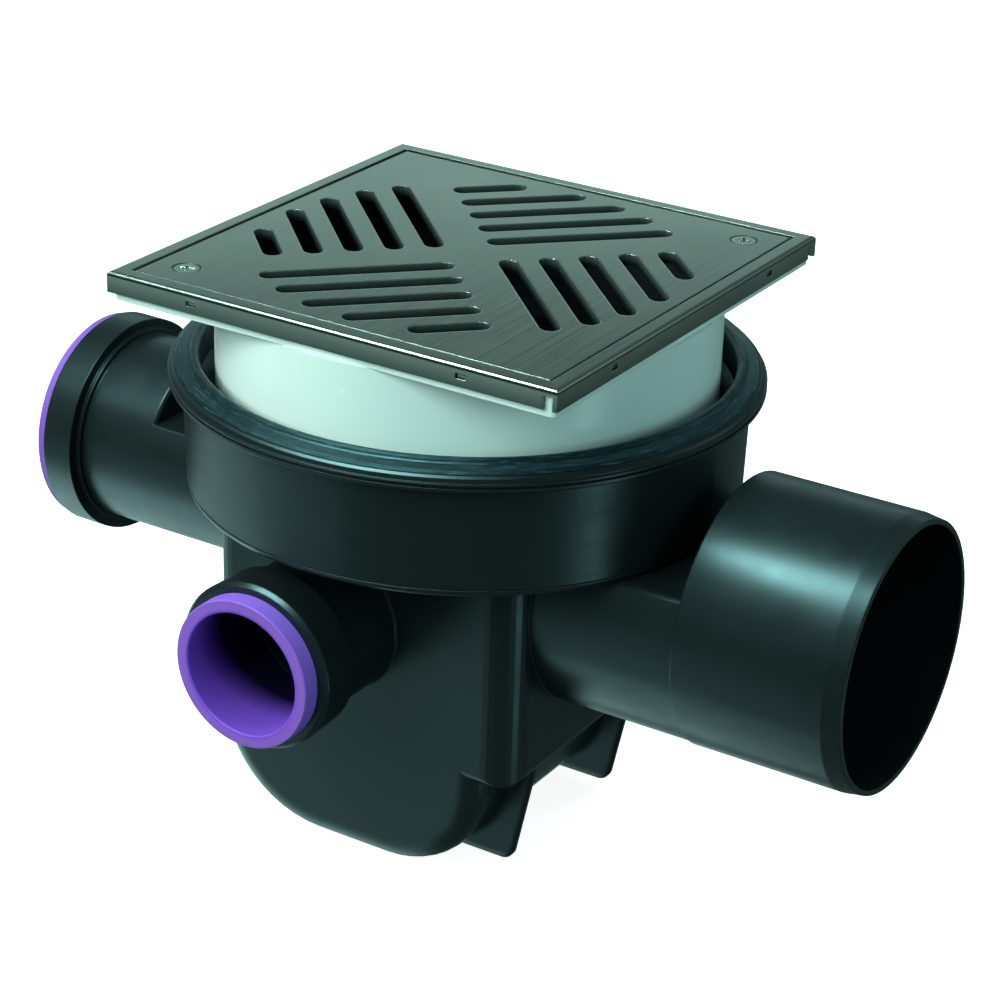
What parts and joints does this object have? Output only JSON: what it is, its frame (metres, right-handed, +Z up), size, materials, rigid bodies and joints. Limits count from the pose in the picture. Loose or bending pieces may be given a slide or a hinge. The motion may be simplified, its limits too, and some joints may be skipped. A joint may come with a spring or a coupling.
{
  "type": "floor gully trap",
  "caption": "Round floor gully with a square slotted grate on a height-adjustable riser, a water-seal trap with removable baffle, a spigot outlet and push-in socket inlets.",
  "frame": {"origin": "the drum's axis on the ground plane, on the underside of the sump", "axes": "+Z up along the drum's axis, +X out of the outlet, -Y out of the 50 mm inlet, -X out of the 75 mm inlet"},
  "size_m": [0.3835, 0.2445, 0.24],
  "materials": {
    "black_pp": "satin moulded polypropylene",
    "black_rubber": "matte moulded rubber",
    "violet_rubber": "smooth moulded rubber",
    "pale_pvc": "smooth moulded PVC",
    "steel": "brushed stainless steel",
    "brass": "turned"
  },
  "bodies": {
    "gully": {"trap_body": "black_pp", "drum": "black_pp", "trap_baffle": "black_pp", "baffle_seal": "black_rubber", "inlet_75_seal": "violet_rubber", "inlet_50_seal": "violet_rubber"},
    "seal_ring": {"riser_seal": "black_rubber"},
    "riser_top": {"riser": "pale_pvc", "frame": "steel", "grate": "steel", "grate_screw_left": "steel", "grate_screw_right": "steel", "screw_insert_left": "brass", "screw_insert_right": "brass"}
  },
  "joints": [
    {"name": "riser_turn", "type": "hinge", "parent": "gully", "child": "seal_ring", "pos_m": [0, 0, 0.19], "axis": [0, 0, 1], "continuous": true},
    {"name": "riser_height", "type": "slide", "parent": "seal_ring", "child": "riser_top", "axis": [0, 0, 1], "range_m": [-0.027, 0.012]}
  ]
}
